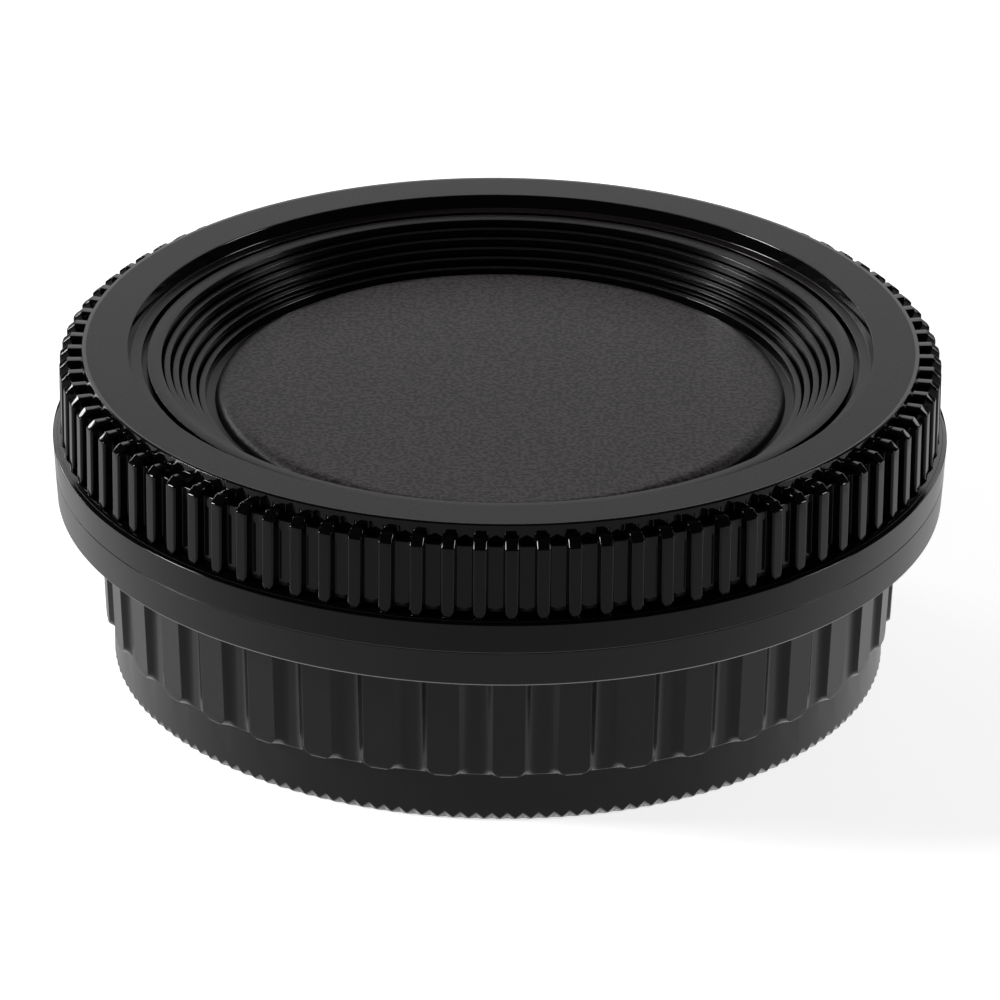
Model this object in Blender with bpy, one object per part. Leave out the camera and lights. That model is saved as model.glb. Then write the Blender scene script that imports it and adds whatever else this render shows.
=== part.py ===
"""A camera body cap locked by its bayonet onto a rear lens cap.

Both caps are one-piece mouldings. The body cap is the flat upper one: a matte ring and a recessed
disc inside a knurled rim, with a short skirt underneath that carries three bayonet lugs. The rear
lens cap is the cup below it, with a fluted wall, a serrated foot and three tabs that hold the lugs.

Units are metres, +Z is up, and the origin is where the axis meets the surface the caps stand on.
"""

import math

import bmesh
import bpy
from mathutils import Vector

MM = 0.001

# Heights of the rear lens cap, from the surface upwards
BAND_HEIGHT = 3.75 * MM
FLUTE_LENGTH = 9.0 * MM
REAR_FLANGE_HEIGHT = 2.5 * MM
REAR_FLOOR_THICKNESS = 1.8 * MM
FOOT_RECESS_DEPTH = 0.5 * MM

# Heights of the body cap, from its lower face upwards
SEAM_GAP = 0.3 * MM
BODY_FLANGE_HEIGHT = 2.1 * MM
KNURL_HEIGHT = 6.7 * MM

# Bayonet: the skirt is the size that fits a lens mount, and the other radii grow from it
SKIRT_RADIUS = 22.6 * MM
SKIRT_WALL = 1.6 * MM
SKIRT_CLEARANCE = 0.6 * MM
SKIRT_TAIL = 0.5 * MM
LUG_ENGAGEMENT = 1.3 * MM
LUG_CLEARANCE = 2.3 * MM
LUG_THICKNESS = 1.4 * MM
LUG_GAP = 0.3 * MM
LUG_COUNT = 3
LUG_SPAN = math.radians(50.0)
LUG_PHASE = math.radians(1.3)
TAB_DROP = 1.65 * MM
TAB_THICKNESS = 1.4 * MM
TAB_SPAN = math.radians(56.0)
STOP_GAP = 0.3 * MM
WALL_SINK = 0.8 * MM              # how far a lug or tab reaches into the wall that carries it

# Wall of the rear lens cap, from the inside outwards
CUP_WALL = 1.75 * MM
BAND_SETBACK = 0.15 * MM
FLUTE_DEPTH = 0.5 * MM            # at the foot of the flutes
FLUTE_DRAFT = 0.15 * MM           # the flutes' floor leans outwards this much upwards
LAND_DRAFT = 0.4 * MM             # and the lands between them lean outwards this much
FLANGE_OVERHANG = 3.0 * MM
FLANGE_TAPER = 0.3 * MM           # over both flanges, wider at the top
FLANGE_EDGE = 0.2 * MM
FLOOR_CHAMFER = 1.2 * MM

# Flutes and the serration of the foot
FLUTE_COUNT = 39
FLUTE_SPAN = math.radians(4.7)
FLUTE_ARC_STEPS = 5
FLUTE_PHASE = math.radians(1.4)
LAND_CORNER = 0.6 * MM
TOOTH_COUNT = 160
TOOTH_PHASE = math.radians(0.45)
TOOTH_HEIGHT = 0.6 * MM
TOOTH_DEPTH = 0.45 * MM
FOOT_RIM_WIDTH = 2.4 * MM

# Knurled rim of the body cap, from the flange inwards
LEDGE_WIDTH = 0.55 * MM
RIB_COUNT = 90
RIB_HEIGHT = 0.7 * MM
RIB_FACE_SPAN = math.radians(1.75)
RIB_FOOT_SPAN = math.radians(2.05)
RIB_PHASE = math.radians(1.65)
RIB_TOP_DROP = 0.62 * MM          # from the top ring down to the ribs' flat tops
RIB_CHAMFER_WIDTH = 0.6 * MM
RIB_CHAMFER_DROP = 0.5 * MM
SHOULDER_DROP = 1.15 * MM         # from the top ring down to the shoulder between the ribs
SHOULDER_SLOPE = 0.07 * MM
SHOULDER_WIDTH = 1.0 * MM
OUTER_WALL = 1.8 * MM

# Face of the body cap, from the top ring inwards
TOP_RING_WIDTH = 3.3 * MM
RECESS_WALL_SLOPE = 0.2 * MM
LIP_DEPTH = 1.0 * MM
LIP_WIDTH = 0.85 * MM
SLOT_WIDTH = 0.3 * MM
SLOT_DEPTH = 0.9 * MM
BAND_WIDTH = 1.1 * MM
STEP_COUNT = 5
STEP_TREAD = 0.43 * MM
STEP_RISER_SLOPE = 0.2 * MM
STEP_DROP = 0.52 * MM
MOAT_WIDTH = 0.85 * MM
MOAT_DEPTH = 0.7 * MM
MOAT_SLOPE = 0.1 * MM
DISC_RISE = 0.2 * MM
PLATE_THICKNESS = 1.3 * MM

TURN_STEPS = 68
FULL_TURN = 2.0 * math.pi

# Radii that follow from the sizes above
TAB_RADIUS = SKIRT_RADIUS + SKIRT_CLEARANCE
LUG_RADIUS = TAB_RADIUS + LUG_ENGAGEMENT
CUP_RADIUS = LUG_RADIUS + LUG_CLEARANCE
FLUTE_FLOOR_RADIUS = CUP_RADIUS + CUP_WALL
BAND_RADIUS = FLUTE_FLOOR_RADIUS - BAND_SETBACK
LAND_FOOT_RADIUS = FLUTE_FLOOR_RADIUS + FLUTE_DEPTH
LAND_TOP_RADIUS = LAND_FOOT_RADIUS + LAND_DRAFT
FLANGE_LOW_RADIUS = LAND_TOP_RADIUS + FLANGE_OVERHANG
FLANGE_MID_RADIUS = FLANGE_LOW_RADIUS + FLANGE_TAPER / 2
FLANGE_TOP_RADIUS = FLANGE_LOW_RADIUS + FLANGE_TAPER
RIB_RADIUS = FLANGE_TOP_RADIUS - LEDGE_WIDTH
RIB_ROOT_RADIUS = RIB_RADIUS - RIB_HEIGHT
RING_OUTER_RADIUS = RIB_ROOT_RADIUS - SHOULDER_WIDTH
RING_INNER_RADIUS = RING_OUTER_RADIUS - TOP_RING_WIDTH

# Heights that follow from the sizes above
FLANGE_UNDERSIDE = BAND_HEIGHT + FLUTE_LENGTH
RIM_TOP = FLANGE_UNDERSIDE + REAR_FLANGE_HEIGHT
BODY_BOTTOM = RIM_TOP + SEAM_GAP
LEDGE_TOP = BODY_BOTTOM + BODY_FLANGE_HEIGHT
CAP_TOP = LEDGE_TOP + KNURL_HEIGHT
TAB_TOP = RIM_TOP - TAB_DROP
TAB_BOTTOM = TAB_TOP - TAB_THICKNESS
LUG_TOP = TAB_BOTTOM - LUG_GAP
LUG_BOTTOM = LUG_TOP - LUG_THICKNESS
SKIRT_BOTTOM = LUG_BOTTOM - SKIRT_TAIL
RECESS_FLOOR = CAP_TOP - LIP_DEPTH - STEP_COUNT * STEP_DROP
PLATE_UNDERSIDE = RECESS_FLOOR - MOAT_DEPTH - PLATE_THICKNESS


def clear_scene():
    """Remove whatever objects the file holds."""
    for item in list(bpy.data.objects):
        bpy.data.objects.remove(item, do_unlink=True)


def polar(radius, angle, height):
    """A point given by its distance from the axis, its angle from +X and its height."""
    return Vector((radius * math.cos(angle), radius * math.sin(angle), height))


def circle(radius, height, steps=TURN_STEPS):
    """A plain turned edge."""
    return [polar(radius, FULL_TURN * step / steps, height) for step in range(steps)]


def angle_of(vertex):
    """The angle of a vertex round the axis, from 0 to a full turn."""
    return math.atan2(vertex.co.y, vertex.co.x) % FULL_TURN


def join_rings(mesh, first, second):
    """Skin the strip between two rings of vertices that run the same way round the axis."""
    if len(first) == len(second):
        for index in range(len(first)):
            after = (index + 1) % len(first)
            mesh.faces.new((first[index], first[after], second[after], second[index]))
        return
    start_first = min(range(len(first)), key=lambda index: angle_of(first[index]))
    start_second = min(range(len(second)), key=lambda index: angle_of(second[index]))
    first = first[start_first:] + first[:start_first]
    second = second[start_second:] + second[:start_second]
    done_first = 0
    done_second = 0
    while done_first < len(first) or done_second < len(second):
        here_first = first[done_first % len(first)]
        here_second = second[done_second % len(second)]
        next_first = first[(done_first + 1) % len(first)]
        next_second = second[(done_second + 1) % len(second)]
        turn_first = angle_of(next_first) + FULL_TURN * ((done_first + 1) // len(first))
        turn_second = angle_of(next_second) + FULL_TURN * ((done_second + 1) // len(second))
        step_first = done_second >= len(second)
        if done_first < len(first) and done_second < len(second):
            step_first = turn_first <= turn_second
        if step_first:
            mesh.faces.new((here_first, next_first, here_second))
            done_first += 1
        else:
            mesh.faces.new((here_first, next_second, here_second))
            done_second += 1


def skin_rings(name, rings):
    """Make one closed body from rings of points, with a flat cap on the first and the last."""
    mesh = bmesh.new()
    loops = [[mesh.verts.new(point) for point in ring] for ring in rings]
    mesh.faces.new(loops[0])
    for lower, upper in zip(loops, loops[1:]):
        join_rings(mesh, lower, upper)
    mesh.faces.new(loops[-1])
    bmesh.ops.recalc_face_normals(mesh, faces=mesh.faces)
    data = bpy.data.meshes.new(name)
    mesh.to_mesh(data)
    mesh.free()
    body = bpy.data.objects.new(name, data)
    bpy.context.scene.collection.objects.link(body)
    return body


def sector(name, inner, outer, low, high, middle, span):
    """A curved block, part of a ring, made by sweeping its section round the axis."""
    steps = max(2, math.ceil(span / math.radians(8.0)))
    mesh = bmesh.new()
    start = middle - span / 2
    corners = ((inner, low), (outer, low), (outer, high), (inner, high))
    section = mesh.faces.new([mesh.verts.new(polar(radius, start, height)) for radius, height in corners])
    bmesh.ops.spin(mesh, geom=[section], cent=(0, 0, 0), axis=(0, 0, 1), angle=span, steps=steps)
    bmesh.ops.remove_doubles(mesh, verts=mesh.verts, dist=0.01 * MM)
    bmesh.ops.recalc_face_normals(mesh, faces=mesh.faces)
    data = bpy.data.meshes.new(name)
    mesh.to_mesh(data)
    mesh.free()
    block = bpy.data.objects.new(name, data)
    bpy.context.scene.collection.objects.link(block)
    block.hide_render = True
    block.display_type = "WIRE"
    return block


def unite(body, blocks):
    """Fuse guide blocks into a body."""
    for block in blocks:
        union = body.modifiers.new(f"union_{block.name}", "BOOLEAN")
        union.operation = "UNION"
        union.solver = "EXACT"
        union.object = block


def plastic(name, shade, roughness):
    """A dyed moulding plastic."""
    finish = bpy.data.materials.new(name)
    finish.use_nodes = True
    shader = finish.node_tree.nodes["Principled BSDF"]
    shader.inputs["Base Color"].default_value = (shade, shade, shade, 1.0)
    shader.inputs["Roughness"].default_value = roughness
    shader.inputs["Metallic"].default_value = 0.0
    return finish


def rib_outline(face_radius, gap_radius, face_height, gap_height):
    """The knurled outline: narrow ribs that stand out of a round wall."""
    outline = []
    for rib in range(RIB_COUNT):
        middle = RIB_PHASE - math.pi / 2 + FULL_TURN * rib / RIB_COUNT
        outline.append(polar(gap_radius, middle - RIB_FOOT_SPAN / 2, gap_height))
        outline.append(polar(face_radius, middle - RIB_FACE_SPAN / 2, face_height))
        outline.append(polar(face_radius, middle + RIB_FACE_SPAN / 2, face_height))
        outline.append(polar(gap_radius, middle + RIB_FOOT_SPAN / 2, gap_height))
    return outline


def flute_outline(land_radius, floor_radius, corner_inset, height):
    """The fluted outline: hollow arcs between flat lands."""
    half_span = FLUTE_SPAN / 2 + corner_inset / land_radius
    chord = land_radius * math.sin(half_span)
    depth = land_radius * math.cos(half_span) - floor_radius
    arc_radius = (chord ** 2 + depth ** 2) / (2 * depth)
    arc_centre = floor_radius + arc_radius
    arc_half = math.atan2(chord, arc_radius - depth)
    outline = []
    for flute in range(FLUTE_COUNT):
        middle = FLUTE_PHASE - math.pi / 2 + FULL_TURN * (flute + 0.5) / FLUTE_COUNT
        for step in range(FLUTE_ARC_STEPS + 1):
            sweep = arc_half * (2 * step / FLUTE_ARC_STEPS - 1)
            across = arc_radius * math.sin(sweep)
            out = arc_centre - arc_radius * math.cos(sweep)
            outline.append(polar(math.hypot(out, across), middle + math.atan2(across, out), height))
    return outline


def corner_inset(above_foot):
    """How far the rounded foot corner of a land is cut back at a height above that foot."""
    rise = max(0.0, LAND_CORNER - above_foot)
    return LAND_CORNER - math.sqrt(LAND_CORNER ** 2 - rise ** 2)


def serration(tip_radius, notch_radius, tip_height, notch_height):
    """An edge that runs between tooth tips and the notches between them."""
    edge = []
    for half in range(2 * TOOTH_COUNT):
        angle = TOOTH_PHASE + FULL_TURN * half / (2 * TOOTH_COUNT)
        if half % 2:
            edge.append(polar(notch_radius, angle, notch_height))
        else:
            edge.append(polar(tip_radius, angle, tip_height))
    return edge


def body_cap_face():
    """Rings of the recessed face, from the disc in the middle out to the top ring."""
    disc_height = RECESS_FLOOR + DISC_RISE
    moat_height = RECESS_FLOOR - MOAT_DEPTH
    slot_outer = RING_INNER_RADIUS - RECESS_WALL_SLOPE - LIP_WIDTH
    band_outer = slot_outer - SLOT_WIDTH
    band_inner = band_outer - BAND_WIDTH
    lip_height = CAP_TOP - LIP_DEPTH
    slot_height = lip_height - SLOT_DEPTH
    stairs = []
    edge = band_inner
    for step in range(STEP_COUNT):
        height = lip_height - (step + 1) * STEP_DROP
        edge -= STEP_RISER_SLOPE
        stairs.append(circle(edge, height))
        edge -= STEP_TREAD
        stairs.append(circle(edge, height))
    rings = [
        circle(edge - MOAT_WIDTH, disc_height),
        circle(edge - MOAT_WIDTH + MOAT_SLOPE, moat_height),
        circle(edge - MOAT_SLOPE, moat_height),
    ]
    rings += reversed(stairs)
    rings += [
        circle(band_inner, lip_height),
        circle(band_outer, lip_height),
        circle(band_outer, slot_height),
        circle(slot_outer, slot_height),
        circle(slot_outer, lip_height),
        circle(RING_INNER_RADIUS - RECESS_WALL_SLOPE, lip_height),
        circle(RING_INNER_RADIUS, CAP_TOP),
    ]
    return rings, max(band_inner, SKIRT_RADIUS + SKIRT_WALL), slot_height - PLATE_THICKNESS


def make_body_cap():
    """The flat upper cap, with its knurled rim, stepped recess and bayonet skirt."""
    rings, relief_radius, relief_height = body_cap_face()
    shoulder_inner = RING_OUTER_RADIUS + SHOULDER_SLOPE
    shoulder_top = CAP_TOP - SHOULDER_DROP
    rib_top = CAP_TOP - RIB_TOP_DROP
    chamfer_inner = RIB_RADIUS - RIB_CHAMFER_WIDTH
    chamfer_foot = rib_top - RIB_CHAMFER_DROP
    channel_outer = RIB_ROOT_RADIUS - OUTER_WALL
    rings += [
        rib_outline(RING_OUTER_RADIUS, RING_OUTER_RADIUS, CAP_TOP, CAP_TOP),
        rib_outline(shoulder_inner, shoulder_inner, rib_top, shoulder_top),
        rib_outline(chamfer_inner, RIB_ROOT_RADIUS, rib_top, shoulder_top),
        rib_outline(RIB_RADIUS, RIB_ROOT_RADIUS, chamfer_foot, shoulder_top - RIB_CHAMFER_DROP / 2),
        rib_outline(RIB_RADIUS, RIB_ROOT_RADIUS, LEDGE_TOP, LEDGE_TOP),
        circle(FLANGE_TOP_RADIUS, LEDGE_TOP),
        circle(FLANGE_MID_RADIUS, BODY_BOTTOM),
        circle(channel_outer, BODY_BOTTOM),
        circle(channel_outer, relief_height),
        circle(relief_radius, relief_height),
        circle(relief_radius, PLATE_UNDERSIDE),
        circle(SKIRT_RADIUS, PLATE_UNDERSIDE),
        circle(SKIRT_RADIUS, SKIRT_BOTTOM),
        circle(SKIRT_RADIUS - SKIRT_WALL, SKIRT_BOTTOM),
        circle(SKIRT_RADIUS - SKIRT_WALL, PLATE_UNDERSIDE),
    ]
    body = skin_rings("body_cap", rings)
    lugs = []
    for lug in range(LUG_COUNT):
        middle = LUG_PHASE + FULL_TURN * lug / LUG_COUNT
        inner = SKIRT_RADIUS - min(WALL_SINK, SKIRT_WALL / 2)
        lugs.append(sector(f"lug_guide_{lug + 1}", inner, LUG_RADIUS, LUG_BOTTOM, LUG_TOP, middle, LUG_SPAN))
    unite(body, lugs)
    body.data.materials.append(plastic("black_gloss_plastic", 0.013, 0.3))
    return body


def make_rear_lens_cap():
    """The cup below, with its fluted wall, serrated foot and bayonet tabs."""
    foot_rim = BAND_RADIUS - TOOTH_DEPTH - FOOT_RIM_WIDTH
    recess_side = FOOT_RECESS_DEPTH / 2
    rings = [
        circle(CUP_RADIUS - FLOOR_CHAMFER, REAR_FLOOR_THICKNESS),
        circle(CUP_RADIUS, REAR_FLOOR_THICKNESS + FLOOR_CHAMFER),
        circle(CUP_RADIUS, RIM_TOP),
        circle(FLANGE_MID_RADIUS, RIM_TOP),
        circle(FLANGE_LOW_RADIUS, FLANGE_UNDERSIDE + FLANGE_EDGE),
        circle(FLANGE_LOW_RADIUS - FLANGE_EDGE, FLANGE_UNDERSIDE),
    ]
    for above_foot in (FLUTE_LENGTH, LAND_CORNER, LAND_CORNER * 0.25, 0.0):
        land_radius = LAND_FOOT_RADIUS + LAND_DRAFT * above_foot / FLUTE_LENGTH
        floor_radius = FLUTE_FLOOR_RADIUS + FLUTE_DRAFT * above_foot / FLUTE_LENGTH
        inset = corner_inset(above_foot)
        rings.append(flute_outline(land_radius, floor_radius, inset, BAND_HEIGHT + above_foot))
    rings += [
        circle(BAND_RADIUS, BAND_HEIGHT),
        serration(BAND_RADIUS, BAND_RADIUS, TOOTH_HEIGHT * 0.1, TOOTH_HEIGHT),
        serration(BAND_RADIUS - TOOTH_DEPTH * 0.1, BAND_RADIUS - TOOTH_DEPTH, 0.0, 0.0),
        circle(foot_rim, 0.0),
        circle(foot_rim - recess_side, FOOT_RECESS_DEPTH),
    ]
    body = skin_rings("rear_lens_cap", rings)
    blocks = []
    stop_turn = STOP_GAP / LUG_RADIUS
    stop_span = (TAB_SPAN - LUG_SPAN) / 2 - stop_turn
    for tab in range(LUG_COUNT):
        middle = LUG_PHASE + FULL_TURN * tab / LUG_COUNT
        outer = CUP_RADIUS + min(WALL_SINK, CUP_WALL / 2)
        blocks.append(sector(f"tab_guide_{tab + 1}", TAB_RADIUS, outer, TAB_BOTTOM, TAB_TOP, middle, TAB_SPAN))
        stop_middle = middle - LUG_SPAN / 2 - stop_turn - stop_span / 2
        stop_top = (TAB_BOTTOM + TAB_TOP) / 2
        blocks.append(sector(f"stop_guide_{tab + 1}", TAB_RADIUS, outer, LUG_BOTTOM, stop_top, stop_middle, stop_span))
    unite(body, blocks)
    body.data.materials.append(plastic("black_satin_plastic", 0.018, 0.5))
    return body


def main():
    """Build both caps."""
    clear_scene()
    for cap in (make_body_cap(), make_rear_lens_cap()):
        cap.data.shade_smooth()
        cap.data.set_sharp_from_angle(angle=math.radians(25.0))


main()
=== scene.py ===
# %% [markdown]
# # A camera body cap on a rear lens cap
#
# The photograph shows two black plastic caps twisted together by their bayonet. The upper one closes
# a camera's lens mount and has a knurled rim. The lower one covers the back of a lens and has a fluted
# wall. Both are turned shapes with a pattern that repeats round the axis, so this lesson makes them
# from profiles, with Geometry Nodes for everything that repeats.

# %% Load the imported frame
import math

import bmesh
import bpy
from mathutils import Matrix, Vector


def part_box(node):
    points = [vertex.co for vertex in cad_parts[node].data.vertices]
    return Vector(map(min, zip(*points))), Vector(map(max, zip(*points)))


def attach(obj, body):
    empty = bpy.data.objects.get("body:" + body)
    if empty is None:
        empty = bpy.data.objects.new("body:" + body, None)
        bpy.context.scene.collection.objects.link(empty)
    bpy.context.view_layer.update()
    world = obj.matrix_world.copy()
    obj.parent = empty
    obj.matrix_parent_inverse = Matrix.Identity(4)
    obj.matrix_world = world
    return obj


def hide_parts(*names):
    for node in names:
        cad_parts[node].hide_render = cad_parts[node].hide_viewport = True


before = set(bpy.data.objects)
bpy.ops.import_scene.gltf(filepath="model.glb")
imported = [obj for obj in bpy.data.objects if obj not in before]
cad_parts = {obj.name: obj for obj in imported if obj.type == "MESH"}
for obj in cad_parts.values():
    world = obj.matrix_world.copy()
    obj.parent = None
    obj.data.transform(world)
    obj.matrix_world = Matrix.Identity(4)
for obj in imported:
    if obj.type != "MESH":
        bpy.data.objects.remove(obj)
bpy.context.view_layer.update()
MM = 0.001

# %% [markdown]
# ## Sizes
#
# The caps' sizes are in millimetres, and those of the floor and the lights are in metres. Heights are
# measured from the table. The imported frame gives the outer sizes, and the finer ones were read off the
# photograph with a camera fitted to its ellipses.

# %% Sizes that the frame gives
body_low, body_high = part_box("body_cap")
rear_low, rear_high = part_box("rear_lens_cap")
TOP = body_high.z / MM
SKIRT_BOTTOM = body_low.z / MM
RIM_TOP = rear_high.z / MM
FLANGE_RADIUS = body_high.x / MM
REAR_FLANGE_RADIUS = rear_high.x / MM
print(f"top {TOP:.2f}, skirt bottom {SKIRT_BOTTOM:.2f}, rear cap's rim {RIM_TOP:.2f}")
print(f"flange radius {FLANGE_RADIUS:.2f} above the seam, {REAR_FLANGE_RADIUS:.2f} below it")

# %% Sizes of the knurled rim
SEAM = RIM_TOP + 0.3
LEDGE = TOP - 6.7
RING_RADIUS = 30.5
RIB_RADIUS = 32.2
RIB_ROOT = 31.5
RIB_COUNT = 90
RIB_PHASE = math.radians(1.65)
print(f"{RIB_COUNT} ribs, one every {360 / RIB_COUNT:.1f} degrees, {RIB_RADIUS - RIB_ROOT:.1f} mm deep")

# %% Sizes of the fluted wall
FLANGE_UNDERSIDE = 12.75
BAND_TOP = 3.75
BAND_RADIUS = 28.4
FLUTE_FLOOR = 28.6
FLUTE_DRAFT = 0.24
LAND_FOOT = 29.05
LAND_TOP = 29.45
FLUTE_COUNT = 39
FLUTE_PHASE = math.radians(1.65)
TOOTH_COUNT = 160
TOOTH_PHASE = math.radians(0.45)
print(f"{FLUTE_COUNT} lands and flutes, {TOOTH_COUNT} teeth round the foot")

# %% [markdown]
# ## Profiles
#
# A moulded edge is never perfectly sharp, and on black plastic the thin bright line along an edge is
# most of what the eye sees. So each profile is written as a few corners with a radius each, and a
# helper turns every corner into a short arc. The points keep two places: one for the plain wall, and
# one for the crest of whatever stands out of it, so that a pattern can rise from the same profile.
# A third value narrows the pattern at that height, for ribs whose lower corners are rounded.

# %% Round the corners of a profile
def rounded(corners, steps=3):
    """Replace each corner (x, y, radius) of an open line by an arc of that radius."""
    line = []
    for index, (x, y, radius) in enumerate(corners):
        here = Vector((x, y))
        if radius == 0 or index in (0, len(corners) - 1):
            line.append(here)
            continue
        to_last = Vector(corners[index - 1][:2]) - here
        to_next = Vector(corners[index + 1][:2]) - here
        half = to_last.angle(to_next) / 2
        # An arc takes less than half of each side, so that two arcs on one side never meet
        room = 0.49 * min(to_last.length, to_next.length)
        reach = min(radius / math.tan(half), room)
        radius = reach * math.tan(half)
        inwards = (to_last.normalized() + to_next.normalized()).normalized()
        centre = here + inwards * (radius / math.sin(half))
        start = here + to_last.normalized() * reach - centre
        turn = start.angle_signed(here + to_next.normalized() * reach - centre)
        for step in range(steps + 1):
            spin = Matrix.Rotation(-turn * step / steps, 2)
            line.append(centre + spin @ start)
    return line


corner = rounded([(0, 2, 0), (2, 2, 1), (2, 0, 0)], 2)
print("a square corner of radius 1:", [tuple(round(value, 2) for value in point) for point in corner])

# %% Draw a quarter of an ellipse
def quarter_turn(steps=8):
    """Pairs that go from (1, 0) to (0, 1) along a quarter circle, to be scaled to a soft corner."""
    turns = [math.pi / 2 * step / steps for step in range(steps + 1)]
    return [(1 - math.sin(turn), 1 - math.cos(turn)) for turn in turns]


print("a quarter turn in two steps:", [(round(x, 2), round(y, 2)) for x, y in quarter_turn(2)])

# %% Make a chain of points that the trees read
def profile_chain(name, plain, crest=None, narrow=None):
    """A chain of vertices at (radius, 0, height), with the crest's place kept as an attribute."""
    crest = crest or plain
    narrow = narrow or [0.0] * len(plain)
    data = bpy.data.meshes.new(name)
    edges = [(index, index + 1) for index in range(len(plain) - 1)]
    data.from_pydata([(r * MM, 0, z * MM) for r, z in plain], edges, [])
    place = data.attributes.new("crest", "FLOAT_VECTOR", "POINT")
    place.data.foreach_set("vector", [value for r, z in crest for value in (r * MM, 0, z * MM)])
    inset = data.attributes.new("narrow", "FLOAT", "POINT")
    inset.data.foreach_set("value", [value * MM for value in narrow])
    chain = bpy.data.objects.new(name, data)
    bpy.context.scene.collection.objects.link(chain)
    return chain


# %% [markdown]
# ## Plastics
#
# Both caps are dyed through, so their colour is nearly the same black everywhere. What tells the
# surfaces apart is how the mould was finished. The rim was polished and shows sharp reflections, the
# ring and the disc were spark eroded and scatter the light, and the lower cap has a satin polish.

# %% Helpers for node trees
def linear(hex_colour):
    """A colour written as sRGB hex, turned to the linear values that a shader works with."""
    parts = [int(hex_colour[index:index + 2], 16) / 255 for index in (1, 3, 5)]
    return tuple(v / 12.92 if v <= 0.04045 else ((v + 0.055) / 1.055) ** 2.4 for v in parts) + (1.0,)


def put(tree, kind, settings=None, **inputs):
    """Add a node, set its properties, and link or set its inputs by name, or by number as i0, i1.

    An input that is given a node is linked to that node's first output.
    """
    node = tree.nodes.new(kind)
    for name, value in (settings or {}).items():
        setattr(node, name, value)
    for name, value in inputs.items():
        socket = node.inputs[int(name[1:]) if name[1:].isdigit() else name.replace("_", " ")]
        if isinstance(value, bpy.types.Node):
            value = value.outputs[0]
        if isinstance(value, bpy.types.NodeSocket):
            tree.links.new(value, socket)
        else:
            socket.default_value = value
    return node


print("black dye #101010 in linear light:", [round(v, 4) for v in linear("#101010")])

# %% A function for moulded plastic
# Noise lies mostly between these two values, so they give the darkest and the brightest grains
NOISE_LOW = 0.42
NOISE_HIGH = 0.58
PATCHES_PER_METRE = 180.0


def moulded_plastic(name, dye, roughness, ior, grain_mm, grain_depth_mm, patch=0.0, painted_glint=0.0):
    """Dyed plastic with the fine grain that its mould left, on Object coordinates, and if asked painted
    glints: colour lighter on the grain's knobs and darker between them.
    """
    finish = bpy.data.materials.new(name)
    finish.use_nodes = True
    tree = finish.node_tree
    shader = tree.nodes["Principled BSDF"]
    shader.inputs["Base Color"].default_value = linear(dye)
    shader.inputs["Roughness"].default_value = roughness
    shader.inputs["IOR"].default_value = ior
    place = put(tree, "ShaderNodeTexCoord").outputs["Object"]
    # Noise of scale 1 has features about a metre wide, so the scale is the number of grains per metre
    grain = put(tree, "ShaderNodeTexNoise", Vector=place, Scale=1000 / grain_mm, Detail=2.0)
    bump = put(tree, "ShaderNodeBump", Height=grain, Distance=grain_depth_mm * MM, Strength=1.0)
    tree.links.new(bump.outputs[0], shader.inputs["Normal"])
    if patch:
        # Slow changes in the polish, a few millimetres wide, as on any used mould
        cloud = put(tree, "ShaderNodeTexNoise", Vector=place, Scale=PATCHES_PER_METRE, Detail=3.0)
        spread = put(tree, "ShaderNodeMapRange", Value=cloud, To_Min=roughness - patch,
                     To_Max=roughness + patch)
        tree.links.new(spread.outputs[0], shader.inputs["Roughness"])
    if painted_glint:
        # Painted highlight and shade: the colour is lighter on the grain's knobs and darker between them, for
        # the light that the knobs of a spark-eroded mould catch and lose
        lit = put(tree, "ShaderNodeMapRange", Value=grain, From_Min=NOISE_LOW, From_Max=NOISE_HIGH,
                  To_Min=1.0 - painted_glint, To_Max=1.0 + painted_glint)
        shade = put(tree, "ShaderNodeVectorMath", {"operation": "SCALE"}, i0=linear(dye)[:3], Scale=lit)
        tree.links.new(shade.outputs[0], shader.inputs["Base Color"])
    return finish


# %% The finishes of both caps
# Polished ABS: almost no light comes back out of the dye, so it is black with mirror-like highlights
polished = moulded_plastic("polished_black_ABS", "#050505", 0.08, 1.46, 0.5, 0.0004, 0.02)
# Spark-eroded ABS: a dull black with a fine grain on the ring and the steps, and a coarse one on the disc.
# The grains are drawn 0.16 and 0.3 mm wide, which is as coarse as they need to be to show in the render.
# Both also carry painted glints, colour lighter on their grain's knobs and darker between them, strongest on
# the disc
fine_grain_painted_glints = moulded_plastic("spark_eroded_black_ABS", "#1d1819", 0.4, 1.46, 0.16, 0.01, painted_glint=0.4)
coarse_grain_painted_glints = moulded_plastic("coarse_eroded_black_ABS", "#2b2526", 0.45, 1.46, 0.3, 0.04, painted_glint=1.0)
# Satin ABS: sharp enough for dark double reflections in the flutes, with a little haze
satin = moulded_plastic("satin_black_ABS", "#1b1a1a", 0.17, 1.46, 0.3, 0.0008, 0.03)
# Ground ABS: the moat round the disc, as black as the polished ones but without their sharp reflections. Its
# black is also painted shade, as the moat lies deep in the shade of the disc and the steps.
matt_and_painted_shade = moulded_plastic("ground_black_ABS", "#050505", 0.42, 1.46, 0.3, 0.002)
print("plastics:", polished.name, fine_grain_painted_glints.name, coarse_grain_painted_glints.name, satin.name, matt_and_painted_shade.name)

# %% [markdown]
# ## One tree for ribs, flutes and teeth
#
# The knurl, the lands between the flutes and the teeth of the foot are the same thing to a toolmaker:
# one section, repeated round a turned wall. The tree draws that section as a line with six points,
# rounds its corners with Fillet Curve, and lays a grid between the section and the profile. The wedge
# it gets is one pitch wide. Instance on Points turns copies of it round the axis, Realize Instances
# makes them real, and Merge by Distance closes the seams between them.

# %% The start and the end that every tree has
WELD_DISTANCE = 0.002 * MM


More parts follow.
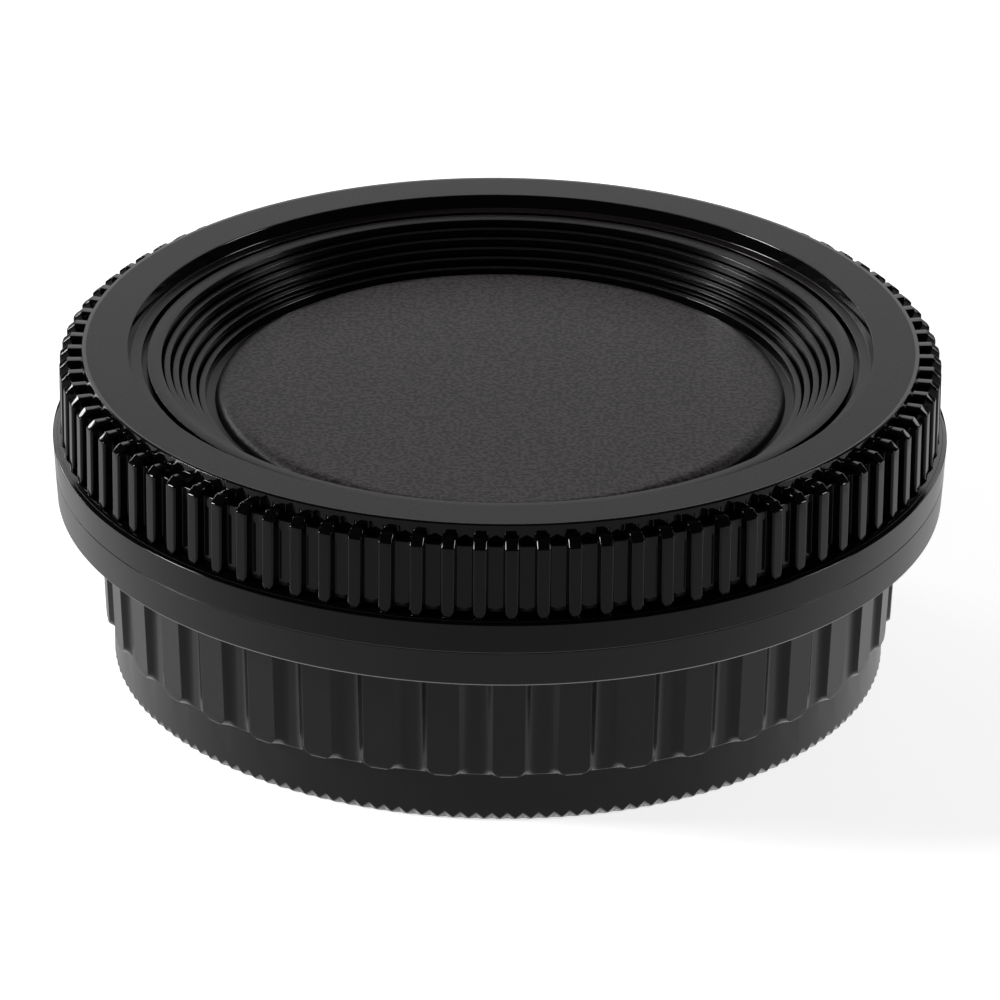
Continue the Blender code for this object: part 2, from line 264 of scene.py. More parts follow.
def open_tree(name, counts, lengths=()):
    """A new tree, and its named inputs: a chain of points, counts, lengths and a plastic."""
    tree = bpy.data.node_groups.new(name, "GeometryNodeTree")
    face = tree.interface
    face.new_socket("Geometry", in_out="INPUT", socket_type="NodeSocketGeometry")
    for title in counts:
        face.new_socket(title, in_out="INPUT", socket_type="NodeSocketInt")
    for title in lengths:
        face.new_socket(title, in_out="INPUT", socket_type="NodeSocketFloat")
    face.new_socket("Material", in_out="INPUT", socket_type="NodeSocketMaterial")
    face.new_socket("Geometry", in_out="OUTPUT", socket_type="NodeSocketGeometry")
    return tree, put(tree, "NodeGroupInput").outputs


def close_tree(tree, shaped, plastic):
    """Make the copies real, close the seams, set the plastic and end the tree."""
    real = put(tree, "GeometryNodeRealizeInstances", Geometry=shaped)
    joined = put(tree, "GeometryNodeMergeByDistance", Geometry=real, Distance=WELD_DISTANCE)
    dressed = put(tree, "GeometryNodeSetMaterial", Geometry=joined, Material=plastic)
    put(tree, "NodeGroupOutput", Geometry=dressed)


# %% Lay a grid and wrap it round the axis
def lay_grid(tree, chain, columns):
    """A grid with one row for each point of the chain, and the row and column of each of its points."""
    rows = put(tree, "GeometryNodeAttributeDomainSize", {"component": "MESH"}, Geometry=chain)
    grid = put(tree, "GeometryNodeMeshGrid", Vertices_X=columns, Vertices_Y=rows)
    index = put(tree, "GeometryNodeInputIndex")
    row = put(tree, "ShaderNodeMath", {"operation": "MODULO"}, i0=index, i1=rows)
    # Half a point more keeps a rounding error from giving the column before
    half_on = put(tree, "ShaderNodeMath", {"operation": "ADD"}, i0=index, i1=0.5)
    columns_done = put(tree, "ShaderNodeMath", {"operation": "DIVIDE"}, i0=half_on, i1=rows)
    column = put(tree, "ShaderNodeMath", {"operation": "FLOOR"}, i0=columns_done)
    return grid, row, column


def wrap(tree, grid, radius, angle, height):
    """Move the grid's points to their radius, angle and height."""
    cosine = put(tree, "ShaderNodeMath", {"operation": "COSINE"}, i0=angle)
    sine = put(tree, "ShaderNodeMath", {"operation": "SINE"}, i0=angle)
    east = put(tree, "ShaderNodeMath", {"operation": "MULTIPLY"}, i0=radius, i1=cosine)
    north = put(tree, "ShaderNodeMath", {"operation": "MULTIPLY"}, i0=radius, i1=sine)
    place = put(tree, "ShaderNodeCombineXYZ", X=east, Y=north, Z=height)
    return put(tree, "GeometryNodeSetPosition", Geometry=grid, Position=place)


# %% The section of one rib
def draw_section(tree, given, pitch):
    """A trapezoid on a flat line, one pitch wide, with rounded corners."""
    index = put(tree, "GeometryNodeInputIndex")
    across = put(tree, "GeometryNodeIndexSwitch", {"data_type": "FLOAT"}, Index=index)
    for _ in range(4):
        across.index_switch_items.new()
    widths = (pitch, given["Foot Width"], given["Face Width"])
    halves = [(width, -0.5) for width in widths] + [(width, 0.5) for width in reversed(widths)]
    for item, (width, side) in enumerate(halves, 1):
        aside = put(tree, "ShaderNodeMath", {"operation": "MULTIPLY"}, i0=width, i1=side)
        tree.links.new(aside.outputs[0], across.inputs[item])
    # Points 2 and 3 are the rib's face, less than 0.6 from 2.5, and the others lie on the wall
    on_face = put(tree, "ShaderNodeMath", {"operation": "COMPARE"}, i0=index, i1=2.5, i2=0.6)
    out = put(tree, "ShaderNodeMath", {"operation": "MULTIPLY"}, i0=on_face, i1=given["Rib Height"])
    spot = put(tree, "ShaderNodeCombineXYZ", X=across, Y=out)
    line = put(tree, "GeometryNodeMeshLine", Count=6)
    bent = put(tree, "GeometryNodeSetPosition", Geometry=line, Position=spot)
    curve = put(tree, "GeometryNodeMeshToCurve", Mesh=bent)
    radius = put(tree, "ShaderNodeMix", {"data_type": "FLOAT"}, Factor=on_face, A=given["Root Radius"],
                 B=given["Edge Radius"])
    steps = put(tree, "ShaderNodeMix", {"data_type": "FLOAT"}, Factor=on_face, A=given["Root Steps"],
                B=given["Edge Steps"])
    return put(tree, "GeometryNodeFilletCurve", {"mode": "POLY"}, Curve=curve, Radius=radius, Count=steps,
               Limit_Radius=True)


# %% Ribs that narrow towards their foot
def narrowed(tree, across, face_width, pitch, inset):
    """Move the rib's edges inwards by the inset, so that the gap between two ribs widens."""
    aside = put(tree, "ShaderNodeMath", {"operation": "ABSOLUTE"}, i0=across)
    half_face = put(tree, "ShaderNodeMath", {"operation": "MULTIPLY"}, i0=face_width, i1=0.5)
    half_pitch = put(tree, "ShaderNodeMath", {"operation": "MULTIPLY"}, i0=pitch, i1=0.5)
    inner_part = put(tree, "ShaderNodeMath", {"operation": "DIVIDE"}, i0=aside, i1=half_face)
    to_border = put(tree, "ShaderNodeMath", {"operation": "SUBTRACT"}, i0=half_pitch, i1=aside)
    half_gap = put(tree, "ShaderNodeMath", {"operation": "SUBTRACT"}, i0=half_pitch, i1=half_face)
    outer_part = put(tree, "ShaderNodeMath", {"operation": "DIVIDE"}, i0=to_border, i1=half_gap)
    part = put(tree, "ShaderNodeMath", {"operation": "MINIMUM"}, i0=inner_part, i1=outer_part)
    shift = put(tree, "ShaderNodeMath", {"operation": "MULTIPLY"}, i0=part, i1=inset)
    moved = put(tree, "ShaderNodeMath", {"operation": "SUBTRACT"}, i0=aside, i1=shift)
    side = put(tree, "ShaderNodeMath", {"operation": "SIGN"}, i0=across)
    return put(tree, "ShaderNodeMath", {"operation": "MULTIPLY"}, i0=side, i1=moved)


# %% The ribbed ring tree
def ribbed_ring_tree():
    """Geometry Nodes: a profile chain in, a closed ring of ribs out."""
    lengths = ("Radius", "Rib Height", "Face Width", "Foot Width", "Edge Radius", "Root Radius", "Phase")
    tree, given = open_tree("ribbed ring", ("Count", "Edge Steps", "Root Steps"), lengths)
    chain = given["Geometry"]
    turn = put(tree, "ShaderNodeMath", {"operation": "DIVIDE"}, i0=2 * math.pi, i1=given["Count"])
    pitch = put(tree, "ShaderNodeMath", {"operation": "MULTIPLY"}, i0=turn, i1=given["Radius"])
    section = draw_section(tree, given, pitch)
    columns = put(tree, "GeometryNodeAttributeDomainSize", {"component": "CURVE"}, Geometry=section)
    grid, row, column = lay_grid(tree, chain, columns)

    # Each grid point reads the section at its column, and the profile's wall and crest at its row
    place = put(tree, "GeometryNodeInputPosition")
    crest = put(tree, "GeometryNodeInputNamedAttribute", {"data_type": "FLOAT_VECTOR"}, Name="crest")
    picks = []
    for source, value, number in ((section, place, column), (chain, place, row), (chain, crest, row)):
        pick = put(tree, "GeometryNodeSampleIndex", {"data_type": "FLOAT_VECTOR", "domain": "POINT"},
                   Geometry=source, Value=value, Index=number)
        picks.append(put(tree, "ShaderNodeSeparateXYZ", Vector=pick).outputs)
    section_at, plain_at, crest_at = picks
    narrow = put(tree, "GeometryNodeInputNamedAttribute", {"data_type": "FLOAT"}, Name="narrow")
    inset = put(tree, "GeometryNodeSampleIndex", {"data_type": "FLOAT", "domain": "POINT"},
                Geometry=chain, Value=narrow, Index=row)

    # It stands between wall and crest, as far out as the section does, and that gives one wedge
    share = put(tree, "ShaderNodeMath", {"operation": "DIVIDE"}, i0=section_at[1], i1=given["Rib Height"])
    radius = put(tree, "ShaderNodeMix", {"data_type": "FLOAT"}, Factor=share, A=plain_at[0], B=crest_at[0])
    height = put(tree, "ShaderNodeMix", {"data_type": "FLOAT"}, Factor=share, A=plain_at[2], B=crest_at[2])
    sideways = narrowed(tree, section_at[0], given["Face Width"], pitch, inset)
    arc = put(tree, "ShaderNodeMath", {"operation": "DIVIDE"}, i0=sideways, i1=given["Radius"])
    angle = put(tree, "ShaderNodeMath", {"operation": "ADD"}, i0=arc, i1=given["Phase"])
    wedge = wrap(tree, grid, radius, angle, height)

    # The ring is made of copies of the wedge, turned one pitch each
    points = put(tree, "GeometryNodePoints", Count=given["Count"])
    number = put(tree, "GeometryNodeInputIndex")
    spin = put(tree, "ShaderNodeMath", {"operation": "MULTIPLY"}, i0=number, i1=turn)
    turned = put(tree, "ShaderNodeCombineXYZ", Z=spin)
    copies = put(tree, "GeometryNodeInstanceOnPoints", Points=points, Instance=wedge, Rotation=turned)
    close_tree(tree, copies, given["Material"])
    return tree


ribbed_ring = ribbed_ring_tree()
print("tree", ribbed_ring.name, "has", len(ribbed_ring.nodes), "nodes")

# %% Run a tree on a profile
def shape(tree, chain, name, **inputs):
    """Put the tree on the chain, set its inputs by the sockets' identifiers, and keep the plain mesh."""
    modifier = chain.modifiers.new(tree.name, "NODES")
    modifier.node_group = tree
    for item in tree.interface.items_tree:
        key = item.name.replace(" ", "_")
        if item.in_out == "INPUT" and key in inputs:
            modifier[item.identifier] = inputs[key]
    bpy.context.view_layer.update()
    graph = bpy.context.evaluated_depsgraph_get()
    data = bpy.data.meshes.new_from_object(chain.evaluated_get(graph), depsgraph=graph)
    data.name = name
    bpy.data.objects.remove(chain, do_unlink=True)
    print(f"{name}: {len(data.vertices)} points, {len(data.polygons)} faces")
    return data


def ribbed_strip(name, chain, plastic, count, phase, edge_steps, root_steps, **lengths):
    """A ring of ribs, with its lengths in millimetres and its phase from the side that the camera sees."""
    metres = {title: value * MM for title, value in lengths.items()}
    return shape(ribbed_ring, chain, name, Count=count, Phase=phase - math.pi / 2, Edge_Steps=edge_steps,
                 Root_Steps=root_steps, Material=plastic, **metres)


# %% [markdown]
# ## One tree for plain turned parts
#
# What has no pattern is a plain turning: the same profile at every angle. A circle of 360 steps keeps
# it round even where the light skims along it.

# %% The turned ring tree
def turned_ring_tree():
    """Geometry Nodes: a profile chain in, a plain turned ring out."""
    tree, given = open_tree("turned ring", ("Steps",))
    chain = given["Geometry"]
    columns = put(tree, "ShaderNodeMath", {"operation": "ADD"}, i0=given["Steps"], i1=1.0)
    grid, row, column = lay_grid(tree, chain, columns)
    place = put(tree, "GeometryNodeInputPosition")
    pick = put(tree, "GeometryNodeSampleIndex", {"data_type": "FLOAT_VECTOR", "domain": "POINT"},
               Geometry=chain, Value=place, Index=row)
    profile_at = put(tree, "ShaderNodeSeparateXYZ", Vector=pick).outputs
    turns = put(tree, "ShaderNodeMath", {"operation": "MULTIPLY"}, i0=column, i1=2 * math.pi)
    angle = put(tree, "ShaderNodeMath", {"operation": "DIVIDE"}, i0=turns, i1=given["Steps"])
    ring = wrap(tree, grid, profile_at[0], angle, profile_at[2])
    close_tree(tree, ring, given["Material"])
    return tree


turned_ring = turned_ring_tree()
print("tree", turned_ring.name, "has", len(turned_ring.nodes), "nodes")

# %% Turn a profile
TURN_STEPS = 360


def turned_strip(name, corners, plastic, corner_steps=3):
    """A plain turning of the profile that these corners give."""
    chain = profile_chain(name + "_profile", rounded(corners, corner_steps))
    return shape(turned_ring, chain, name, Steps=TURN_STEPS, Material=plastic)


# %% [markdown]
# ## The body cap
#
# Three strips make the cap. The face runs from the middle of the disc, up the five steps of the recess
# and out over the top ring. The knurled rim carries the ribs, which fold in under the top ring. The
# flange, the underside and the skirt close the shape below.

# %% Sizes of the recess
DISC = TOP - 3.4
DISC_RADIUS = 20.75
EDGE_WIDTH = 1.15
EDGE_DROP = 0.6
MOAT = TOP - 4.3
STEP_COUNT = 5
STEP_FOOT = 21.6
FIRST_TREAD = TOP - 3.6
STEP_RISE = 0.52
GROOVE = 0.22
GROOVE_DEPTH = 0.3
LIP = TOP - 1.0
LIP_INNER = 24.75
STEP_PITCH = (LIP_INNER - STEP_FOOT) / STEP_COUNT
print(f"disc {TOP - DISC:.1f} mm deep, {STEP_COUNT} steps of {STEP_PITCH:.2f} by {STEP_RISE} mm")

# %% The face: disc, moat, five steps, slot and top ring
SLOT_INNER = 25.8
SLOT_OUTER = 26.2
SLOT_TAPER = 0.03
SLOT_FLOOR = LIP - 0.9
LIP_OUTER = 27.0
RING_INNER = 27.2
FACE_END = RING_RADIUS - 0.28
face_corners = [(0, DISC, 0)]
for inwards, down in quarter_turn():
    face_corners.append((DISC_RADIUS - EDGE_WIDTH * inwards, DISC - EDGE_DROP * down, 0))
face_corners += [(DISC_RADIUS + 0.1, MOAT, 0.05), (STEP_FOOT - 0.1, MOAT, 0.05)]
for step in range(STEP_COUNT):
    tread = FIRST_TREAD + STEP_RISE * step
    inner = STEP_FOOT + STEP_PITCH * step
    face_corners.append((inner, tread, 0.05))
    # A narrow groove at the foot of the next riser draws the black line between two steps
    face_corners.append((inner + STEP_PITCH - GROOVE, tread, 0.03))
    face_corners.append((inner + STEP_PITCH - 0.01, tread - GROOVE_DEPTH, 0))
face_corners += [(LIP_INNER, LIP, 0.07), (SLOT_INNER, LIP, 0.05), (SLOT_INNER + SLOT_TAPER, SLOT_FLOOR, 0),
                 (SLOT_OUTER - SLOT_TAPER, SLOT_FLOOR, 0), (SLOT_OUTER, LIP, 0.05), (LIP_OUTER, LIP, 0.08),
                 (RING_INNER, TOP, 0.1), (FACE_END, TOP, 0)]
face_strip = turned_strip("face", face_corners, fine_grain_painted_glints)

# %% The top of the knurled rim
# Between the ribs the wall drops to a level shoulder. Each rib has a flat top and a chamfer.
RIB_TOP = TOP - 0.62
RIB_TOP_EDGE = 31.6
CHAMFER_FOOT = TOP - 1.12
SHOULDER = TOP - 1.15
RING_WALL = RING_RADIUS + 0.04
RIM_START = RING_RADIUS - 0.25
shoulder = rounded([(RIM_START, TOP, 0), (RING_WALL, TOP, 0.05), (RING_WALL, SHOULDER, 0.06),
                    (RIB_ROOT, SHOULDER, 0.08), (RIB_ROOT, TOP - 1.4, 0)])
shoulder += [Vector((RIB_ROOT, TOP - drop)) for drop in (1.45, 1.55, 1.7, 2.0)]
crest = rounded([(RIM_START, TOP, 0), (RING_WALL, TOP, 0.05), (RING_WALL, RIB_TOP, 0.06),
                 (RIB_TOP_EDGE, RIB_TOP, 0.14), (RIB_RADIUS, CHAMFER_FOOT, 0.16), (RIB_RADIUS, TOP - 2.0, 0)])
print("points in the gap's profile and in the rib's:", len(shoulder), len(crest))

# %% The foot of the knurled rim
# The ledge slopes out to the flange, and the ribs run down onto it with rounded corners
LEDGE_RISE = 0.47
RIM_END_RADIUS = 32.4


def ledge_height(radius):
    """Height of the sloping ledge at this radius."""
    return LEDGE + LEDGE_RISE * (FLANGE_RADIUS - radius) / (FLANGE_RADIUS - RIB_ROOT)


rises = [0.5, 0.4, 0.32, 0.25, 0.18, 0.11, 0.05, 0.0]
insets = [0.0, 0.005, 0.025, 0.06, 0.1, 0.15, 0.2, 0.24]
rim_end = (RIM_END_RADIUS, ledge_height(RIM_END_RADIUS))
rim_plain = shoulder + [(RIB_ROOT, ledge_height(RIB_ROOT) + rise) for rise in rises] + [rim_end]
rim_crest = crest + [(RIB_RADIUS, ledge_height(RIB_RADIUS) + rise) for rise in rises] + [rim_end]
rim_chain = profile_chain("rim_profile", rim_plain, rim_crest, [0.0] * len(shoulder) + insets + [0.0])
rim_strip = ribbed_strip("knurled rim", rim_chain, polished, RIB_COUNT, RIB_PHASE, edge_steps=5,
                         root_steps=2, Radius=RIB_RADIUS, Rib_Height=RIB_RADIUS - RIB_ROOT, Face_Width=0.98,
                         Foot_Width=1.13, Edge_Radius=0.2, Root_Radius=0.06)

# %% The flange, the underside and the skirt
# At the seam a small chamfer draws a line of light, and below it the two flanges nearly touch
FLANGE_START = 32.45
SEAM_CHAMFER = 0.07
CHANNEL_OUTER = 29.3
CHANNEL_INNER = 24.75
CHANNEL_ROOF = TOP - 3.2
PLATE_UNDERSIDE = TOP - 5.6
SKIRT_OUTER = 22.6
SKIRT_INNER = 21.0
SEAM_LIP = SEAM - 2 * SEAM_CHAMFER
flange_corners = [(FLANGE_START, ledge_height(FLANGE_START), 0), (FLANGE_RADIUS, LEDGE, 0.07),
                  (REAR_FLANGE_RADIUS + 0.02, SEAM - SEAM_CHAMFER, 0),
                  (REAR_FLANGE_RADIUS - 0.01, SEAM_LIP, 0.01), (CHANNEL_OUTER, SEAM_LIP, 0.1),
                  (CHANNEL_OUTER, CHANNEL_ROOF, 0.3), (CHANNEL_INNER, CHANNEL_ROOF, 0.3),
                  (CHANNEL_INNER, PLATE_UNDERSIDE, 0.2), (SKIRT_OUTER, PLATE_UNDERSIDE, 0.3),
                  (SKIRT_OUTER, SKIRT_BOTTOM, 0.3), (SKIRT_INNER, SKIRT_BOTTOM, 0.3),
                  (SKIRT_INNER, PLATE_UNDERSIDE, 0.3), (0, PLATE_UNDERSIDE, 0)]
under_strip = turned_strip("flange", flange_corners, polished)

# %% [markdown]
# ## Joining the strips
#
# The strips have different numbers of points round the axis. The two borders at a seam lie on the same
# level face, slope or wall, so a zip of triangles between them follows it and can't be seen. The result
# is one closed body, as the moulding is.

# %% Find the open borders
def bearing(vertex):
    """The angle at which a vertex stands round the axis."""
    return math.atan2(vertex.co.y, vertex.co.x)


def border_loops(mesh):
    """The open borders of a mesh by (radius, height), each a list of vertices in order of their angle."""
    open_edges = [edge for edge in mesh.edges if len(edge.link_faces) == 1]
    groups = {}
    for vertex in {vertex for edge in open_edges for vertex in edge.verts}:
        radius = round(vertex.co.xy.length / MM, 2)
        groups.setdefault((radius, round(vertex.co.z / MM, 2)), []).append(vertex)
    return {spot: sorted(loop, key=bearing) for spot, loop in groups.items()}


# %% Zip two borders together
def zip_loops(mesh, first, second):
    """Skin the strip between two rows of vertices that both run once round the axis."""
    done_first, done_second = 0, 0
    while done_first < len(first) or done_second < len(second):
        here_first = first[done_first % len(first)]
        here_second = second[done_second % len(second)]
        next_first = first[(done_first + 1) % len(first)]
        next_second = second[(done_second + 1) % len(second)]
        turn_first = bearing(next_first) + (2 * math.pi if done_first + 1 >= len(first) else 0)
        turn_second = bearing(next_second) + (2 * math.pi if done_second + 1 >= len(second) else 0)
        if done_second >= len(second) or (done_first < len(first) and turn_first <= turn_second):
            mesh.faces.new((here_first, next_first, here_second))
            done_first += 1
        else:
            mesh.faces.new((here_first, next_second, here_second))
            done_second += 1


# %% Make one body of several strips
def join_strips(name, strips, seams):
    """One closed mesh from the strips; a seam names its two borders by (radius, height)."""
    mesh = bmesh.new()
    finishes = []
    for strip in strips:
        count = len(mesh.faces)
        mesh.from_mesh(strip)
        mesh.faces.ensure_lookup_table()
        material = strip.materials[-1]
        if material not in finishes:
            finishes.append(material)
        for face in mesh.faces[count:]:
            face.material_index = finishes.index(material)
    for seam in seams:
        loops = border_loops(mesh)
        nearest = [min(loops, key=lambda spot: math.dist(spot, border)) for border in seam]
        zip_loops(mesh, loops[nearest[0]], loops[nearest[1]])
    bmesh.ops.recalc_face_normals(mesh, faces=mesh.faces)
    left_open = sum(1 for edge in mesh.edges if len(edge.link_faces) != 2)
    data = bpy.data.meshes.new(name)
    mesh.to_mesh(data)
    mesh.free()
    for material in finishes:
        data.materials.append(material)
    piece = bpy.data.objects.new(name, data)
    bpy.context.scene.collection.objects.link(piece)
    print(f"{name}: {len(data.polygons)} faces, {left_open} open edges")
    return piece


# %% Join the body cap
body_cap = join_strips("body_cap_moulding", [face_strip, rim_strip, under_strip],
                       [((FACE_END, TOP), (RIM_START, TOP)), (rim_end, (FLANGE_START, rim_end[1]))])

# %% Give the disc, the moat and the risers their own finish, black on the moat and the risers as painted shade
# The disc has a coarser grain than the ring and the steps. Steep walls have none, as a grain there would hold
# the moulding in its mould, so the risers are polished and the moat is ground. Their black plastic is also
# painted shade: it darkens the risers and the moat, where the steps and the disc shade each other. A face is
# steep where the upright part of its normal is smaller than STEEP.
RECESS_RADIUS = RING_RADIUS - 3.2
STEEP = 0.65
body_cap.data.materials.append(coarse_grain_painted_glints)
body_cap.data.materials.append(matt_and_painted_shade)
plastics = [material.name for material in body_cap.data.materials]
for face in body_cap.data.polygons:
    across = face.center.xy.length / MM
    height = face.center.z / MM
    if across > RECESS_RADIUS or height < MOAT - 0.1:
        continue
    if abs(face.normal.z) < STEEP or height < MOAT + 0.3:
        face.material_index = plastics.index(matt_and_painted_shade.name if across < STEP_FOOT - 0.1 else polished.name)
    elif across < DISC_RADIUS:
        face.material_index = plastics.index(coarse_grain_painted_glints.name)
print("plastics of the body cap:", plastics)

# %% [markdown]
# ## The rear lens cap
#
# The lower cap is a cup. Its wall has flat lands with hollow flutes between them, which give a grip,
# and its foot ends in small teeth. The lands lean inwards a little towards the foot, so that the
# moulding leaves its tool, and their lower corners are rounded.

# %% The flange and the inside of the cup
CUP_RADIUS = 26.8
CUP_FLOOR = 1.8
REAR_FLANGE_FOOT = 32.45
CUP_END = 30.0
inside_corners = [(0, CUP_FLOOR, 0), (CUP_RADIUS, CUP_FLOOR, 1.2), (CUP_RADIUS, RIM_TOP, 0.3),
                  (REAR_FLANGE_RADIUS + 0.02, RIM_TOP + 0.15, 0.03),
                  (REAR_FLANGE_FOOT, FLANGE_UNDERSIDE, 0.2), (CUP_END, FLANGE_UNDERSIDE, 0)]
cup_strip = turned_strip("cup", inside_corners, satin, 4)

# %% The profile of the fluted wall
# A flute is a hollow whose flanks rise at 45 degrees, with a wide root radius for its bottom. Each land's
# outer flank mirrors the far side of the hollow, so it looks black, and the inner one mirrors the room.
LAND_CORNER = 0.6
LAND_BOTTOM = BAND_TOP + 0.06
WALL_START = 29.9
BAND_EDGE = 28.44
BAND_START = BAND_TOP - 0.04
steps_down = [(height, 0.0) for height in (FLANGE_UNDERSIDE, 10.5, 8.0, 6.0)]
steps_down += [(LAND_BOTTOM + LAND_CORNER * up, LAND_CORNER * inset) for up, inset in quarter_turn()]
plain, crest, narrow = [(WALL_START, FLANGE_UNDERSIDE)], [(WALL_START, FLANGE_UNDERSIDE)], [0.0]
for height, inset in steps_down:
    rise = (height - BAND_TOP) / (FLANGE_UNDERSIDE - BAND_TOP)
    plain.append((FLUTE_FLOOR + FLUTE_DRAFT * rise, height))
    crest.append((LAND_FOOT + (LAND_TOP - LAND_FOOT) * rise, height))
    narrow.append(inset)
# Under the lands the profile turns in to the band, with two points close together that keep the turn crisp
band_edge = [(BAND_EDGE, BAND_TOP), (BAND_RADIUS, BAND_START)]
plain += [(FLUTE_FLOOR - 0.03, BAND_TOP + 0.015), (FLUTE_FLOOR - 0.07, BAND_TOP)] + band_edge
crest += [(LAND_FOOT - 0.02, BAND_TOP + 0.02), (LAND_FOOT - 0.08, BAND_TOP)] + band_edge
narrow += [LAND_CORNER, LAND_CORNER, 0.0, 0.0]
print("points down the fluted wall:", len(plain))

# %% The fluted wall
flute_chain = profile_chain("flute_profile", plain, crest, narrow)
flute_strip = ribbed_strip("fluted wall", flute_chain, satin, FLUTE_COUNT, FLUTE_PHASE, edge_steps=5,
                           root_steps=12, Radius=LAND_TOP, Rib_Height=LAND_TOP - FLUTE_FLOOR - FLUTE_DRAFT,
                           Face_Width=2.3, Foot_Width=3.52, Edge_Radius=0.1, Root_Radius=1.0)

# %% The serrated foot
# The wall ends in a zigzag. Its points are the crests, and between them the wall rolls under in small domes.
TEETH_TOP = 1.2
FOOT_END = 27.6
teeth_plain = [(BAND_RADIUS, TEETH_TOP), (BAND_RADIUS, 0.63), (BAND_RADIUS, 0.6), (28.2, 0.32), (28.05, 0.0),
               (FOOT_END, 0.0)]
teeth_crest = [(BAND_RADIUS, TEETH_TOP), (BAND_RADIUS, 0.23), (BAND_RADIUS, 0.2), (28.32, 0.08), (28.2, 0.0),
               (FOOT_END, 0.0)]
foot_chain = profile_chain("tooth_profile", teeth_plain, teeth_crest)
foot_strip = ribbed_strip("serrated foot", foot_chain, satin, TOOTH_COUNT, TOOTH_PHASE, edge_steps=2,
                          root_steps=1, Radius=BAND_RADIUS, Rib_Height=0.45, Face_Width=0.1, Foot_Width=1.05,
                          Edge_Radius=0.05, Root_Radius=0.05)

# %% The recess under the foot
BASE_START = 27.5
BASE_HEIGHT = 0.5
base_corners = [(BASE_START, 0, 0), (25.55, 0, 0.15), (25.3, BASE_HEIGHT, 0.15), (0, BASE_HEIGHT, 0)]
base_strip = turned_strip("base", base_corners, satin)

# %% Join the rear lens cap
rear_cap = join_strips("rear_cap_moulding", [cup_strip, flute_strip, foot_strip, base_strip],
                       [((CUP_END, FLANGE_UNDERSIDE), (WALL_START, FLANGE_UNDERSIDE)),
                        ((BAND_RADIUS, BAND_START), (BAND_RADIUS, TEETH_TOP)),
                        ((FOOT_END, 0.0), (BASE_START, 0.0))])

# %% [markdown]
# ## The bayonet
#
# Three lugs stand out of the body cap's skirt, and three tabs with stops stand into the rear cap's cup.
# They are hidden in the photograph, so they are plain curved blocks, fused to their walls.

# %% Curved blocks
def curved_block(name, inner, outer, low, high, middle, span):
    """Part of a ring, swept round the axis by bmesh's spin."""
    mesh = bmesh.new()
    start = middle - span / 2
    section = mesh.faces.new([mesh.verts.new((r * MM * math.cos(start), r * MM * math.sin(start), z * MM))
                              for r, z in ((inner, low), (outer, low), (outer, high), (inner, high))])
    bmesh.ops.spin(mesh, geom=[section], cent=(0, 0, 0), axis=(0, 0, 1), angle=span, steps=24)
    bmesh.ops.remove_doubles(mesh, verts=mesh.verts, dist=0.001 * MM)
    bmesh.ops.recalc_face_normals(mesh, faces=mesh.faces)
    data = bpy.data.meshes.new(name)
    mesh.to_mesh(data)
    mesh.free()
    return bpy.data.objects.new(name, data)


def fuse(piece, blocks):
    """Unite blocks with a piece, and keep the result as its plain mesh."""
    for block in blocks:
        bpy.context.scene.collection.objects.link(block)
        block.data.materials.append(piece.data.materials[-1])
        union = piece.modifiers.new(block.name, "BOOLEAN")
        union.operation = "UNION"
        union.solver = "MANIFOLD"
        union.object = block
    bpy.context.view_layer.update()
    graph = bpy.context.evaluated_depsgraph_get()
    data = bpy.data.meshes.new_from_object(piece.evaluated_get(graph), depsgraph=graph)
    piece.modifiers.clear()
    piece.data = data
    for block in blocks:
        bpy.data.objects.remove(block, do_unlink=True)
    print(f"{piece.name}: {len(data.polygons)} faces with its bayonet")


# %% Three lugs, three tabs and three stops
# Each kind has its inner and outer radius, its lower and upper height, its place past the middle of a
# lug, and its length. The last two are in degrees. A stop closes one end of its tab's slot.
LUG_PHASE = math.radians(1.3)
LUG = (21.8, 24.5, 10.5, 11.9, 0.0, 50)
TAB = (23.2, 27.2, 12.2, 13.6, 0.0, 56)
STOP = (23.25, 27.25, 10.55, 12.9, -26.85, 2.2)
lugs, tabs = [], []
for number in range(3):
    middle = LUG_PHASE + 2 * math.pi * number / 3
    for kind, block, blocks in (("lug", LUG, lugs), ("tab", TAB, tabs), ("stop", STOP, tabs)):
        inner, outer, low, high, past, length = block
        blocks.append(curved_block(f"{kind}_{number}", inner, outer, low, high,
                                   middle + math.radians(past), math.radians(length)))
fuse(body_cap, lugs)
fuse(rear_cap, tabs)

# %% [markdown]
# ## Shading
#
# A mould's curved faces run smoothly into each other and break only at real edges. Smooth shading with
# edges marked sharp from an angle does the same, and weighted normals keep the wide level faces flat
# beside their small rounded edges, which a plain average would bend.

# %% Smooth the curved surfaces and keep the edges crisp
SHARP_ANGLE = math.radians(42)
for piece in (body_cap, rear_cap):
    piece.data.shade_smooth()
    piece.data.set_sharp_from_angle(angle=SHARP_ANGLE)
    weigh = piece.modifiers.new("weighted normals", "WEIGHTED_NORMAL")
    weigh.keep_sharp = True
    print(piece.name, "uses", [material.name for material in piece.data.materials])

# %% [markdown]
# ## Two bodies
#
# The caps turn on each other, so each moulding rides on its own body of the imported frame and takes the
# place of the plain solid there. Everything of a cap is in one mesh, as nothing of it can come loose.

# %% Put the pieces on their bodies
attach(body_cap, "front_cap")
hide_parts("body_cap")
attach(rear_cap, "rear_cap")
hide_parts("rear_lens_cap")

# %% [markdown]
# ## Camera
#
# The photograph was taken from 26 degrees above the table with a long lens, so the circles are flat
# ellipses with little perspective. The numbers come from a fit to eight of those ellipses.

